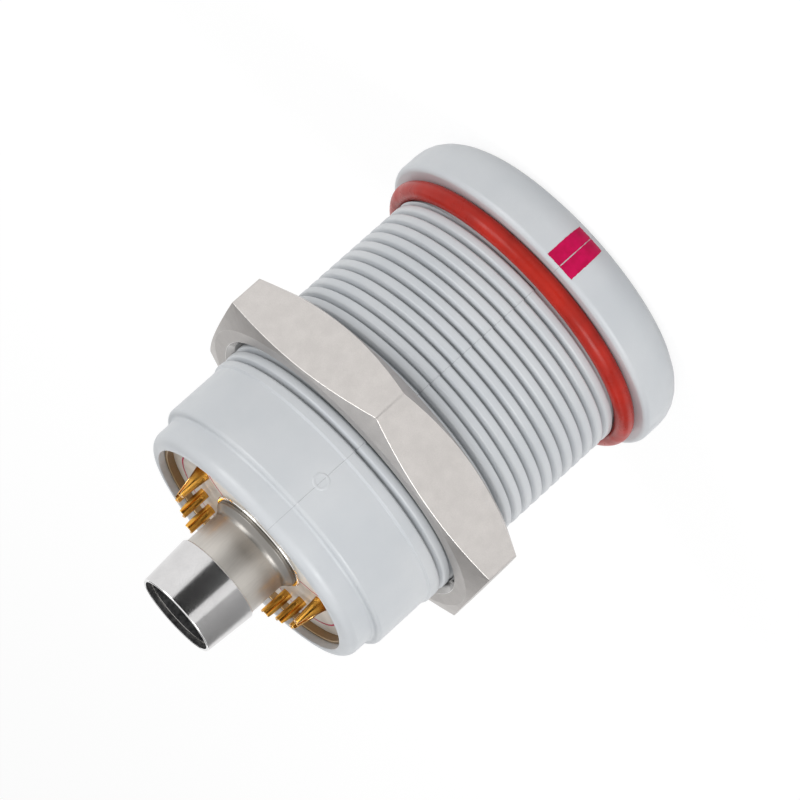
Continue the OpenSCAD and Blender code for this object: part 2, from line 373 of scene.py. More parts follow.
# %% [markdown]
# ### Red silicone rubber
#
# A sealing ring is moulded and wiped with grease, so it has soft streaks along the cord. The rubber itself
# hardly shines, and a thin coat layer gives the faint wet highlight.

# %% Seal rubber
def seal_rubber():
    finish = Finish("seal_rubber", (0.42, 0.022, 0.012), 0.3, Specular_IOR_Level=0.16, Coat_Weight=0.06,
                    Coat_Roughness=0.15)
    streaks = finish.ramp(finish.grain(3.5, 3), 0.35, 0.7, 0, 1)
    color = finish.blend(streaks, (0.46, 0.022, 0.012), (0.34, 0.016, 0.009))
    finish.drive("Base Color", color)
    finish.drive("Roughness", finish.ramp(finish.grain(2.2, 4), 0.3, 0.7, 0.22, 0.42))
    finish.bump(finish.grain(0.5, 3), 0.008)
    return finish.material


seal_finish = seal_rubber()


# %% [markdown]
# ### Metals
#
# The nut and the tube are brass, blasted or brushed and then nickel plated, which leaves a warm grey satin.
# The collar and the washer were polished before plating. Gold covers the contacts. Outer edges are painted
# brighter, partly as rubbed wear and partly as painted highlight, and inner corners are painted darker as
# painted shade, which the edge mark drives.

# %% Nickel, polished nickel, gold, brass and steel
def metal(name, color, edge_wear_and_highlight, roughness, grain_mm, depth_mm, stretch=(1, 1, 1)):
    finish = Finish(name, color, roughness, 1.0)
    speck = finish.grain(grain_mm, 4, stretch)
    cloud = finish.ramp(finish.grain(grain_mm * 14, 3), 0.35, 0.65, 0, 0.55)
    tint = finish.blend(cloud, color, tuple(0.86 * c for c in color))
    tint = finish.blend(finish.ramp(speck, 0.3, 0.7, 0.3, 0), tint, tuple(0.72 * c for c in color))
    # Outer edges are painted brighter, partly as rubbed wear and partly as painted highlight
    tint = finish.blend(finish.ramp(finish.edge(), 0.4, 1, 0, 0.8), tint, edge_wear_and_highlight)
    # Inner corners are painted darker, as painted shade
    tint = finish.blend(finish.ramp(finish.edge(), -1, -0.1, 0.85, 0), tint, tuple(0.25 * c for c in color))
    finish.drive("Base Color", tint)
    worn = finish.ramp(finish.edge(), 0.4, 1, 0, -0.12)
    uneven = finish.ramp(speck, 0.3, 0.7, roughness + 0.06, roughness)
    finish.drive("Roughness", finish.combine("ADD", uneven, worn))
    finish.bump(speck, depth_mm)
    return finish.material


nut_finish = metal("nut_metal", (0.63, 0.60, 0.578), (0.86, 0.83, 0.8), 0.4, 0.11, 0.009)
# Darker nickel for the nut's bore, as painted shade inside the bore
nut_thread_shade_finish = metal("nut_thread_metal", (0.32, 0.31, 0.3), (0.9, 0.88, 0.86), 0.1, 0.2, 0.002)
tube_finish = metal("tube_metal", (0.62, 0.59, 0.55), (0.9, 0.88, 0.85), 0.33, 0.2, 0.004, (1, 1, 0.08))
collar_finish = metal("collar_metal", (0.74, 0.73, 0.73), (0.98, 0.98, 0.98), 0.12, 0.12, 0.002)
washer_finish = metal("washer_metal", (0.82, 0.8, 0.77), (0.98, 0.97, 0.95), 0.07, 0.3, 0.001)
gold_finish = metal("contact_gold", (0.80, 0.40, 0.07), (1.0, 0.72, 0.3), 0.16, 0.18, 0.004, (1, 1, 0.2))
# The retaining ring's brass is painted dark brown, as painted shade for the shaded wall inside the shell's
# rim
brass_and_shade_finish = metal("ring_metal", (0.34, 0.22, 0.11), (0.5, 0.36, 0.2), 0.4, 0.3, 0.004)
steel_finish = metal("clip_metal", (0.35, 0.35, 0.36), (0.6, 0.6, 0.6), 0.3, 0.2, 0.003)


# %% [markdown]
# ### Insulator, dark bore and paint
#
# The insulator is an off-white engineering plastic that has yellowed a little. The bores of the tube and of
# the collar are painted near black, as painted shade deep inside them. The key mark is a thick magenta paint
# and the lines round the contacts are printed in the same colour.

# %% Insulator, bore and paint
def insulator_plastic():
    finish = Finish("insulator_plastic", (0.66, 0.63, 0.58), 0.45)
    clouds = finish.ramp(finish.grain(5, 4), 0.35, 0.65, 0, 1)
    color = finish.blend(clouds, (0.75, 0.73, 0.69), (0.68, 0.64, 0.58))
    finish.drive("Base Color", color)
    finish.drive("Roughness", finish.ramp(finish.grain(0.8, 3), 0.3, 0.7, 0.38, 0.52))
    finish.bump(finish.grain(0.25, 3), 0.006)
    return finish.material


def dark_bore():
    # Near black, as painted shade deep inside the bores, with a faint random mottle
    finish = Finish("dark_bore", (0.012, 0.012, 0.013), 0.45)
    bore_mottle = finish.ramp(finish.grain(0.4, 4), 0.4, 0.7, 0, 1)
    color = finish.blend(bore_mottle, (0.008, 0.008, 0.009), (0.05, 0.05, 0.05))
    finish.drive("Base Color", color)
    finish.bump(finish.grain(0.3, 4), 0.01)
    return finish.material


def key_paint():
    finish = Finish("key_paint", (0.55, 0.004, 0.07), 0.35, Specular_IOR_Level=0.1)
    coverage = finish.ramp(finish.grain(0.9, 4), 0.35, 0.7, 0, 1)
    color = finish.blend(coverage, (0.58, 0.004, 0.085), (0.46, 0.003, 0.06))
    finish.drive("Base Color", color)
    finish.drive("Roughness", finish.ramp(finish.grain(0.5, 3), 0.3, 0.7, 0.28, 0.42))
    finish.bump(finish.grain(0.4, 3), 0.01)
    return finish.material


def white_core():
    finish = Finish("dielectric_plastic", (0.7, 0.7, 0.68), 0.4)
    clouds = finish.ramp(finish.grain(2, 3), 0.35, 0.65, 0, 1)
    color = finish.blend(clouds, (0.72, 0.72, 0.7), (0.64, 0.64, 0.61))
    finish.drive("Base Color", color)
    finish.bump(finish.grain(0.2, 3), 0.004)
    return finish.material


insulator_finish = insulator_plastic()
bore_shade_finish = dark_bore()
paint_finish = key_paint()
core_finish = white_core()

# %% [markdown]
# ## The shell
#
# One moulding: flange, neck, thread, barrel, lip, rear bore and socket with keyways. The source builds the
# thread as plain rings. Here it is a true helix: its rows climb by one pitch while the skin goes once
# round, and the last column welds to the first one a pitch further on. The mould parted along two lines,
# front and back. The halves met with a slight offset, which shows as a fine ridge and a small jump of the
# thread.

# %% Thread rows
PITCH = 1.5
THREAD_DEPTH = 0.8
# Share of the pitch, and share of the depth, from one valley to the next
THREAD_FORM = [(0, 1), (0.05, 0.92), (0.11, 0.55), (0.17, 0.2), (0.23, 0.04), (0.32, 0.0),
               (0.68, 0.0), (0.77, 0.04), (0.83, 0.2), (0.89, 0.55), (0.95, 0.92)]


def groove_share(phase):
    """Share of the thread's depth at a share of the pitch."""
    form = THREAD_FORM + [(1.0, 1)]
    for (a, down_a), (b, down_b) in zip(form, form[1:]):
        if phase % 1 <= b:
            return down_a + (down_b - down_a) * (phase % 1 - a) / (b - a)
    return 1.0


def thread_rows(share, origin, low, high, turns, crest_r, outward=1, depth=THREAD_DEPTH):
    """Rows of a helix at a share of the turn, cut off square at two heights."""
    rows = []
    for turn in range(-1, turns):
        for part, down in THREAD_FORM:
            z = origin + PITCH * (turn + part + share)
            kept = min(max(z, low), high)
            if kept != z:
                down = groove_share((kept - origin) / PITCH - share)
            # The mark is minus the groove's depth, which the shell's colour reads to paint shade deep in the
            # grooves
            rows.append((crest_r - outward * depth * down, kept, -down))
    return rows


# %% The outline of the shell at an angle
SEAM = math.radians(-90)
SEAM_OFFSETS = (-0.9, -0.5, -0.25, -0.12, 0, 0.12, 0.25, 0.5, 0.9)
RIDGE_H = 0.045
RIDGE_W = 0.16
RAMP_START = 179.9
RAMP_W = 0.3
# Offset of the two mould halves along the axis, at the thread's front face and at its grooves
FACE_JUMP = 0.18
GROOVE_JUMP = 0.06
# Edge mark on the parting line for each millimetre of ridge
SEAM_MARK = -22
FLANGE_FRONT_ROUND = 3.8
FLANGE_REAR_ROUND = 0.7
NECK_R = thread_r - 0.53
LIP_Z = barrel_z + 7.1
RIM_ROUND = 1.3
SOCKET_CHAMFER = 0.7
STOP_T = 1
LIP_FOOT_R = 15.35
SHOULDER_Z = front_high.z - 5
BLOCK_BORE_R = 11.1
SOCKET_DEPTH = SHOULDER_Z - 2
KEYWAYS = [(0.0, 3.2), (105.0, 1.8), (-105.0, 1.8)]
KEY_DEPTH = 0.8
LATCH_Z = 7.0
LATCH_W = 2.5
LATCH_DEPTH = 0.7
# Smooth band behind the last groove of the thread
BAND = 0.7
THREAD_TURNS = math.ceil(thread_len / PITCH) + 1
SKIN_STEPS = 7


def bell(x, width):
    """1 in the middle, falling off smoothly to both sides."""
    return math.exp(-(x / width) ** 2)


def seam_ridge(angle):
    """Height of the parting ridge at an angle measured from the seam at the front."""
    to_front = math.degrees(min(angle, math.tau - angle))
    to_back = math.degrees(abs(angle - math.pi))
    return RIDGE_H * bell(min(to_front, to_back), RIDGE_W)


def half_share(angle):
    """0 on one half of the mould and 1 on the other, with a short ramp at each seam."""
    degrees = math.degrees(angle)
    up = min(max((degrees - RAMP_START) / RAMP_W, 0), 1)
    down = min(max((360 - degrees) / RAMP_W, 0), 1)
    return min(up, down)


def wall_radius(angle):
    """Radius of the socket's wall, deeper where a keyway runs."""
    for key_angle, width in KEYWAYS:
        off = (angle - math.radians(key_angle) + math.pi) % math.tau - math.pi
        across = (socket_r + KEY_DEPTH) * math.tan(off) if abs(off) < 1 else width
        if abs(across) < width / 2 + 0.001:
            return (socket_r + KEY_DEPTH) / math.cos(off)
    return socket_r


def key_edges():
    """Angles in degrees at both sides of every keyway."""
    found = []
    for key_angle, width in KEYWAYS:
        half = math.degrees(math.atan2(width / 2, socket_r + KEY_DEPTH))
        found += [key_angle + side * (half + d) for side in (-1, 1) for d in (-0.01, 0.05)]
    return found


def shell_outline(angle):
    ridge = seam_ridge(angle)
    half = half_share(angle)
    start_z = thread_z + FACE_JUMP * half
    wall = wall_radius(angle)
    chamfer_r = max(wall, socket_r + SOCKET_CHAMFER)
    groove_r = max(wall, socket_r + LATCH_DEPTH)
    end_z = barrel_z - BAND
    origin = thread_z + GROOVE_JUMP * half
    rows = thread_rows(angle / math.tau, origin, start_z, end_z, THREAD_TURNS, thread_r + ridge)
    skin = rounded([
        (chamfer_r, 0, 0.1), (flange_r + ridge, 0, FLANGE_FRONT_ROUND),
        (flange_r + ridge, flange_t, FLANGE_REAR_ROUND), (NECK_R, flange_t, 0.15), (NECK_R, start_z, 0),
        (thread_r, end_z + 0.12, 0), (thread_r, barrel_z - 0.08, 0.06),
        (barrel_r + ridge, barrel_z + 0.14, 0.08),
        (barrel_r + ridge, LIP_Z, 0.5), (LIP_FOOT_R, LIP_Z, 0.35), (LIP_FOOT_R + ridge, shell_top, RIM_ROUND),
        (insert_r, shell_top, 0.08), (insert_r, SHOULDER_Z, 0), (BLOCK_BORE_R, SHOULDER_Z, 0),
        (BLOCK_BORE_R, SOCKET_DEPTH, 0), (socket_r, SOCKET_DEPTH, 0), (socket_r, SOCKET_DEPTH - STOP_T, 0),
        (wall, SOCKET_DEPTH - STOP_T, 0), (wall, LATCH_Z + LATCH_W, 0), (groove_r, LATCH_Z + LATCH_W, 0),
        (groove_r, LATCH_Z, 0), (wall, LATCH_Z, 0), (wall, chamfer_r - wall, 0)], SKIN_STEPS)
    line = SEAM_MARK * ridge
    rows = [(r, z, min(mark, line)) for r, z, mark in rows]
    plain = [(r, z, line) for r, z, mark in skin]
    # The thread's rows go in after the four rounded corners of the flange and the neck, and one sharp corner
    before = 4 * (SKIN_STEPS + 1) + 1
    return plain[:before] + rows + plain[before:]


# %% Build the shell
seam_columns = [offset + back_or_front for back_or_front in (0, 180) for offset in SEAM_OFFSETS]
ramp_columns = [RAMP_START, 180.2, 359.7]
shell_angles = angles_round(216, seam_columns + ramp_columns + key_edges())
shell = turned("shell_body", shell_outline, shell_angles, shell_finish, start=SEAM, sharp=50)
place(shell, "shell", "shell_plastic", "shell")

# %% [markdown]
# ## Gate mark on the barrel
#
# Where the plastic was let into the mould a small round scar stayed on the parting line. It is a flat spot
# with a raised rim, so a polar patch is laid on the barrel and its points are lifted by a bell-shaped rim.

# %% Build the gate mark
RIM_H = 0.08
RIM_W = 0.09
SKIRT_W = 0.25


def gate_mark(center_z, radius, rings=10, spokes=40):
    """A round patch that rises to a rim at a radius and dips under the barrel's skin at its border."""
    points = []
    faces = []
    for i in range(rings + 1):
        for j in range(spokes):
            turn = math.tau * j / spokes
            reach = (radius + SKIRT_W) * i / rings
            lift = RIM_H * bell(reach - radius, RIM_W) + 0.015
            if i == rings:
                lift = -0.03
            along = reach * math.cos(turn)
            across = reach * math.sin(turn) / barrel_r
            r = barrel_r + lift
            points.append((r * math.sin(across) * MM, -r * math.cos(across) * MM, (center_z + along) * MM))
            if i < rings:
                k = (j + 1) % spokes
                faces.append((i * spokes + j, (i + 1) * spokes + j, (i + 1) * spokes + k, i * spokes + k))
    mesh = bpy.data.meshes.new("gate_mark")
    mesh.from_pydata(points, [], faces)
    finish_mesh(mesh, 60)
    mesh.materials.append(shell_finish)
    piece = bpy.data.objects.new("gate_mark", mesh)
    bpy.context.scene.collection.objects.link(piece)
    return piece


GATE_Z = barrel_z + 3.4
GATE_R = 0.75
place(gate_mark(GATE_Z, GATE_R), "shell", "shell_plastic")

# %% [markdown]
# ## Key mark
#
# A bar of paint on the flange shows where the main keyway lies. A flat decal would hover, so the bar is a
# small curved patch a few hundredths of a millimetre proud, with edges that wander as a brush or a pad
# leaves them. The mould's seam breaks it into two halves.

# %% Build the key mark
MARK_W = 3.6
MARK_LOW = 1.1
MARK_HIGH = 6.0
MARK_SPLIT = 0.006
PAINT_T = 0.03


def flange_radius(z):
    """Radius of the flange's skin at a height, inside its front rounding."""
    if z >= FLANGE_FRONT_ROUND:
        return flange_r
    drop = FLANGE_FRONT_ROUND - z
    return flange_r - FLANGE_FRONT_ROUND + math.sqrt(FLANGE_FRONT_ROUND ** 2 - drop ** 2)


def paint_patch(name, left, right, columns=24, rows=30):
    """Half of the painted bar, between two widths from the middle, with its border pressed to the flange."""
    points = []
    faces = []
    for i in range(rows + 1):
        for j in range(columns + 1):
            u = j / columns
            v = i / rows
            z = MARK_LOW + (MARK_HIGH - MARK_LOW) * v
            x = left + (right - left) * u
            ragged = noise.noise(Vector((x * 4, z * 4, 3)))
            x += 0.05 * ragged * (abs(2 * u - 1) > 0.99)
            z += 0.06 * noise.noise(Vector((x * 5, 7, z))) * (abs(2 * v - 1) > 0.99)
            rim = min(u, 1 - u) * columns < 0.5 or min(v, 1 - v) * rows < 0.5
            r = flange_radius(z) + (0.002 if rim else PAINT_T)
            angle = x / flange_r
            points.append((r * math.sin(angle) * MM, -r * math.cos(angle) * MM, z * MM))
            if i < rows and j < columns:
                a = i * (columns + 1) + j
                faces.append((a, a + 1, a + columns + 2, a + columns + 1))
    mesh = bpy.data.meshes.new(name)
    mesh.from_pydata(points, [], faces)
    finish_mesh(mesh, 60)
    mesh.materials.append(paint_finish)
    piece = bpy.data.objects.new(name, mesh)
    bpy.context.scene.collection.objects.link(piece)
    place(piece, "shell", "shell_plastic")


paint_patch("key_mark_left", -MARK_W / 2, -MARK_SPLIT)
paint_patch("key_mark_right", MARK_SPLIT, MARK_W / 2)

# %% [markdown]
# ## Sealing ring
#
# A torus would do for the body, but a moulded ring has a thin flash line where its two mould halves met. It
# runs round the outside, so the cord's section gets one slightly raised point there.

# %% Build the sealing ring
SEAL_POINTS = 36
FLASH_H = 0.02
# Place and width of the flash line round the cord's section, in radians and degrees
FLASH_TURN = 0.9
FLASH_W = 8


def seal_outline(angle):
    points = []
    r = seal_cord / 2
    body_r = r - FLASH_H
    for i in range(SEAL_POINTS):
        turn = math.tau * i / SEAL_POINTS
        off = math.atan2(math.sin(turn - FLASH_TURN), math.cos(turn - FLASH_TURN))
        flash = FLASH_H * bell(math.degrees(off), FLASH_W)
        out = seal_r + (body_r + flash) * math.cos(turn)
        up = flange_t + r + body_r * math.sin(turn)
        points.append((out, up, 0.0))
    return points


seal = turned("seal_ring", seal_outline, angles_round(200), seal_finish)
place(seal, "shell", "seal_rubber", "sealing_ring")

# %% [markdown]
# ## Hexagon nut
#
# The nut was cut from hexagon bar and chamfered on a lathe, so its corners are hexagon and cone at once. At
# each angle the outline is simple: out along the face, down the cone until it meets the flat, along the
# flat, and back in. The bore has a countersink at both ends and thread grooves between.

# %% Build the nut
NUT_AF_HALF = 19.5
NUT_CORNER_ROUND = 0.35
NUT_FACE_R = NUT_AF_HALF - 0.4
NUT_BORE_R = thread_r + 0.06
NUT_LAND = 0.1
NUT_SINK = 0.9
NUT_THREAD_DEPTH = 0.5
NUT_TURNS = math.ceil((nut_high.z - nut_low.z) / PITCH) + 1
NUT_FRONT_SLOPE = math.tan(math.radians(28))
NUT_REAR_SLOPE = math.tan(math.radians(17))
corner_x = NUT_AF_HALF / math.cos(math.pi / 6)


def turn_error(turn):
    """How far the box of a hexagon with this turn lies from the nut's box."""
    corners = [turn + k * math.pi / 3 for k in range(6)]
    reach_x = max(corner_x * math.cos(corner) for corner in corners)
    reach_y = max(corner_x * math.sin(corner) for corner in corners)
    return abs(reach_x - nut_high.x) + abs(reach_y - nut_high.y)


NUT_TURN = min((math.radians(0.1 * k) for k in range(300, 600)), key=turn_error)
print("nut's corners are turned by", round(math.degrees(NUT_TURN), 1), "degrees")


def hexagon_radius(angle):
    """Distance of the hexagon's side at an angle from a corner, with rounded corners."""
    off = (angle + math.pi / 6) % (math.pi / 3) - math.pi / 6
    centre = corner_x - NUT_CORNER_ROUND / math.sin(math.pi / 3)
    limit = math.atan2(NUT_CORNER_ROUND / 2, centre + NUT_CORNER_ROUND * math.cos(math.pi / 6))
    if abs(off) < limit:
        return centre * math.cos(off) + math.sqrt(NUT_CORNER_ROUND ** 2 - (centre * math.sin(off)) ** 2)
    return NUT_AF_HALF / math.cos(math.pi / 6 - abs(off))


def nut_outline(angle):
    reach = hexagon_radius(angle)
    front = nut_low.z + (reach - NUT_FACE_R) * NUT_FRONT_SLOPE
    rear = nut_high.z - (reach - NUT_FACE_R) * NUT_REAR_SLOPE
    outside = rounded([
        (NUT_BORE_R, nut_low.z + NUT_SINK, 0.05), (NUT_BORE_R + NUT_SINK, nut_low.z, 0.08),
        (NUT_FACE_R, nut_low.z, 0.12), (reach, front, 0.07), (reach, rear, 0.07),
        (NUT_FACE_R, nut_high.z, 0.12), (NUT_BORE_R + NUT_SINK, nut_high.z, 0.08),
        (NUT_BORE_R, nut_high.z - NUT_SINK, 0.05)], 4)
    low = nut_low.z + NUT_SINK + NUT_LAND
    high = nut_high.z - NUT_SINK - NUT_LAND
    rows = thread_rows(angle / math.tau, low, low, high, NUT_TURNS, NUT_BORE_R, -1, NUT_THREAD_DEPTH)
    return outside + [(r, z, 0.0) for r, z, mark in reversed(rows)]


corner_marks = [60 * k + d for k in range(6) for d in (-2, -1, -0.6, -0.3, 0, 0.3, 0.6, 1, 2)]
nut = turned("ring_nut", nut_outline, angles_round(180, corner_marks), nut_finish, start=NUT_TURN, sharp=30)
# The bore's faces get the darker, glossier nickel, as painted shade inside the bore
paint_faces(nut, nut_thread_shade_finish, lambda p: math.hypot(p.x, p.y) < NUT_BORE_R + NUT_SINK)
place(nut, "hex_nut", "nut_metal", "hex_nut")

# %% [markdown]
# ## Tube, collar, washer and retaining ring
#
# These are plain turned parts, and only their edges need care: the tube flares into its foot with a hollow
# fillet, the collar's open end is polished thin, and the washer's rim is a full round that catches the
# light.

# %% Build the cable tube
TUBE_R = 5.05
TUBE_FOOT_R = 5.75
TUBE_BORE_R = mounts["tube_bore"]["dims"]["r_mm"]
TUBE_FOOT_T = 0.4
FILLET_H = 1.1
FILLET_R = 0.9
SLEEVE_R = 3.2
SLEEVE_OUT_R = 4.0
CLIP_GROOVE = 0.55
STOP_W = 0.4
STOP_GAP = 0.3
stop_z = box_mm("centre_contact")[1].z + STOP_GAP
collar_bore_r = 4.6
COLLAR_LAP = 0.03
# Edge mark that paints the tube's hollow fillet darker, as painted shade
FILLET_PAINTED_SHADE = -0.9
clip_low, clip_high = box_mm("tube_clip")
core_high = box_mm("tube_insulator")[1]


def tube_outline(angle):
    neck_r = collar_bore_r - COLLAR_LAP
    groove_r = TUBE_R - CLIP_GROOVE
    stop_r = TUBE_BORE_R - STOP_W
    skin = rounded([
        (SLEEVE_R, tube_low.z, 0.1), (SLEEVE_OUT_R, tube_low.z, 0.1), (SLEEVE_OUT_R, front_high.z, 0),
        (TUBE_R, front_high.z, 0.1), (TUBE_R, clip_low.z, 0), (groove_r, clip_low.z, 0),
        (groove_r, clip_high.z, 0), (TUBE_R, clip_high.z, 0), (TUBE_R, washer_high.z, 0),
        (TUBE_FOOT_R, washer_high.z, 0.12), (TUBE_FOOT_R, washer_high.z + TUBE_FOOT_T, 0.1),
        (TUBE_R, washer_high.z + FILLET_H, FILLET_R),
        (TUBE_R, collar_low.z, 0), (neck_r, collar_low.z, 0), (neck_r, tube_high.z, 0.08),
        (TUBE_BORE_R, tube_high.z, 0.08), (TUBE_BORE_R, stop_z, 0.05), (stop_r, stop_z, 0.05),
        (stop_r, core_high.z, 0.05), (SLEEVE_R, core_high.z, 0)], 6)
    # The band of the fillet gets the painted shade mark
    low = washer_high.z - 0.01
    high = washer_high.z + FILLET_H
    return [(r, z, min(mark, FILLET_PAINTED_SHADE) if low < z < high else mark) for r, z, mark in skin]


tube = turned("cable_tube", tube_outline, angles_round(160), tube_finish)
# The faces inside the tube's bore get the painted shade
paint_faces(tube, bore_shade_finish,
            lambda p: math.hypot(p.x, p.y) < TUBE_BORE_R + 0.02 and p.z > core_high.z - 0.1)
place(tube, "shell", "tube_metal", "tube_body")


# %% Build the collar, the washer and the retaining ring
COLLAR_FOOT_R = 5.35
COLLAR_TIP_R = 4.95
WASHER_BORE_R = TUBE_R + 0.03
RING_W = 0.4


def collar_outline(angle):
    return rounded([
        (collar_bore_r, collar_low.z, 0.05), (COLLAR_FOOT_R, collar_low.z, 0.12),
        (COLLAR_TIP_R, collar_high.z, 0.14), (collar_bore_r, collar_high.z, 0.1)], 5)


def washer_outline(angle):
    half = (washer_high.z - washer_low.z) / 2
    return rounded([
        (WASHER_BORE_R, washer_low.z, 0.03), (washer_high.x, washer_low.z, half * 0.95),
        (washer_high.x, washer_high.z, half * 0.95), (WASHER_BORE_R, washer_high.z, 0.03)], 6)


def ring_outline(angle):
    inner = ring_high.x - RING_W
    return rounded([
        (inner, ring_low.z, 0.03), (ring_high.x, ring_low.z, 0.03),
        (ring_high.x, ring_high.z, 0.08), (inner, ring_high.z, 0.12)], 4)


collar = turned("collar", collar_outline, angles_round(160), collar_finish)
# The collar's bore faces get the painted shade
paint_faces(collar, bore_shade_finish, lambda p: math.hypot(p.x, p.y) < collar_bore_r + 0.02)
place(collar, "shell", "collar_metal", "crimp_collar")
washer = turned("washer", washer_outline, angles_round(160), washer_finish)
place(washer, "shell", "washer_metal", "base_washer")
ring = turned("inner_ring", ring_outline, angles_round(200), brass_and_shade_finish)
place(ring, "shell", "ring_metal", "retaining_ring")

# %% [markdown]
# ## Solder contacts
#
# Each contact is turned, bored at both ends and cut open at the cable end, so that a wire can be laid in
# from the side. The cut is a slanted plane: the rim is high on the side towards the axis and low on the
# outer side. The outline at each angle only needs its own rim height.

# %% Build the contacts
CUP_R = 0.625
CUP_WALL = 0.2
CUP_H = 3.4
CUP_FLOOR = 0.8
CUP_SLANT = math.radians(14)
COLLAR_Z = front_high.z - 1.2
COLLAR_W = 0.35
CONTACT_SET = 0.6
SOCKET_LEN = 6


def contact_outline(body_r):
    """Gives the function that makes the outline of a contact with a body radius."""
    def outline(angle):
        tip = insert_top + CUP_H
        slope = 1 / math.tan(CUP_SLANT)
        toward = math.cos(angle)
        rim_out = tip - max(0.0, toward * CUP_R) * slope
        rim_in = tip - max(0.0, toward * (CUP_R - CUP_WALL)) * slope
        floor = insert_top + CUP_FLOOR
        rim_out = max(rim_out, floor + 0.1)
        rim_in = max(rim_in, floor + 0.1)
        front = front_low.z + CONTACT_SET
        pin_r = body_r - CUP_WALL
        return rounded([
            (0, front + SOCKET_LEN, 0), (pin_r, front + SOCKET_LEN, 0.05), (pin_r, front, 0.05),
            (body_r, front, 0.06), (body_r, COLLAR_Z, 0.03), (body_r + COLLAR_W, COLLAR_Z, 0.04),
            (body_r + COLLAR_W, front_high.z, 0.04),
            (body_r, front_high.z, 0.03), (body_r, insert_top, 0.1), (CUP_R, rim_out, 0.04),
            (CUP_R - CUP_WALL, rim_in, 0.04), (CUP_R - CUP_WALL, floor, 0.1), (0, floor, 0)], 3)
    return outline


def contact_center(node):
    """Place of a contact's axis and the radius of its body, inside the collar that sets its box."""
    low, high = box_mm(node)
    return (low.x + high.x) / 2, (low.y + high.y) / 2, (high.x - low.x) / 2 - COLLAR_W


contact_nodes = [name for name in sorted(frame["nodes"]) if "contact_" in name and name != "centre_contact"]
for name in contact_nodes:
    x, y, body_r = contact_center(name)
    out_angle = math.atan2(y, x)
    piece = turned(name.replace("contact", "pin"), contact_outline(body_r), angles_round(40), gold_finish,
                   start=out_angle, axis=(x, y))
    place(piece, "shell", "contact_gold", name)

# %% [markdown]
# ## Printed lines
#
# A thin line is printed round each group of contacts: out from the tube, round the outer side, and back
# behind the cups. A ribbon of quads follows a smooth closed curve through a few points, a hundredth of a
# millimetre above the insulator.

# %% Print the lines
# Radius in millimetres and angle in degrees from the line through the axis, towards the key mark
LOOP = [(5.9, 8), (8.0, 16), (10.2, 22.5), (11.4, 20), (11.8, 9), (11.85, -9), (11.85, -27), (11.8, -45),
        (11.2, -57), (9.5, -62), (7.6, -60), (6.0, -45), (5.75, -18)]


def loop_points(side, steps=8):
    """Points of the smooth loop on the right, side 1, or on the left, side -1."""
    corners = []
    for r, degrees in LOOP:
        a = math.radians(degrees)
        corners.append(Vector((side * r * math.cos(a), -r * math.sin(a))))
    points = []
    for i in range(len(corners)):
        before, here, there, after = [corners[(i + k) % len(corners)] for k in (-1, 0, 1, 2)]
        for k in range(steps):
            t = k / steps
            place_at = (2 * here + t * (there - before) + t * t * (2 * before - 5 * here + 4 * there - after)
                        + t * t * t * (3 * here - before - 3 * there + after)) / 2
            points.append((place_at.x, place_at.y))
    return points


LINE_W = 0.2
LINE_Z = insert_top + 0.01


def ribbon(name, points, width, z, material):
    """A flat closed band along points, centred on them."""
    count = len(points)
    corners = []
    for i, (x, y) in enumerate(points):
        ahead = Vector(points[(i + 1) % count]) - Vector(points[i - 1])
        side = Vector((-ahead.y, ahead.x)).normalized() * width / 2
        corners.append(((x + side.x) * MM, (y + side.y) * MM, z * MM))
        corners.append(((x - side.x) * MM, (y - side.y) * MM, z * MM))
    faces = [(2 * i, 2 * i + 1, (2 * i + 3) % (2 * count), (2 * i + 2) % (2 * count)) for i in range(count)]
    mesh = bpy.data.meshes.new(name)
    mesh.from_pydata(corners, [], faces)
    mesh.materials.append(material)
    piece = bpy.data.objects.new(name, mesh)
    bpy.context.scene.collection.objects.link(piece)
    place(piece, "shell", "insulator_plastic")


ribbon("print_right", loop_points(1), LINE_W, LINE_Z, paint_finish)
ribbon("print_left", loop_points(-1), LINE_W, LINE_Z, paint_finish)

# %% [markdown]
# ## Pieces that keep their form
#
# The insulators, the tube's core, the centre contact and the clip come from the frame as they are. They
# only get their finish.

# %% Dress the remaining nodes
def dress(node, material):
    for material_slot in frame["nodes"][node].material_slots:
        material_slot.material = material


dress("front_insulator", insulator_finish)
dress("rear_insulator", insulator_finish)
dress("tube_insulator", core_finish)
dress("centre_contact", gold_finish)
dress("tube_clip", steel_finish)

# %% [markdown]
# ## Studio
#
# The object stands on a floor that keeps its shadow. To the camera and to gloss the floor glows white, and
# to all other light it is a plain matt sheet, so it doesn't add its glow to the colours.

# %% Make the floor
FLOOR_GLOW = 0.86
FLOOR_MATT = 0.2
# The floor lies a hair under the flange, so that the two faces don't fight
FLOOR_Z = -0.02 * MM


def stage_plane(name, size_x, size_y, matrix, material):
    mesh = bpy.data.meshes.new(name)
    x = size_x / 2
    y = size_y / 2
    mesh.from_pydata([(-x, -y, 0), (x, -y, 0), (x, y, 0), (-x, y, 0)], [], [(0, 1, 2, 3)])
    mesh.materials.append(material)
    piece = bpy.data.objects.new(name, mesh)
    bpy.context.scene.collection.objects.link(piece)
    piece.matrix_world = matrix
    return piece


def seen_directly(nodes, links):
    """1 for the rays of camera, gloss and glass, and 0 for all other light."""
    paths = nodes.new("ShaderNodeLightPath")
    total = paths.outputs["Is Camera Ray"]
    for output in ("Is Glossy Ray", "Is Transmission Ray"):
        larger = nodes.new("ShaderNodeMath")
        larger.operation = "MAXIMUM"
        links.new(total, larger.inputs[0])
        links.new(paths.outputs[output], larger.inputs[1])
        total = larger.outputs[0]
    return total


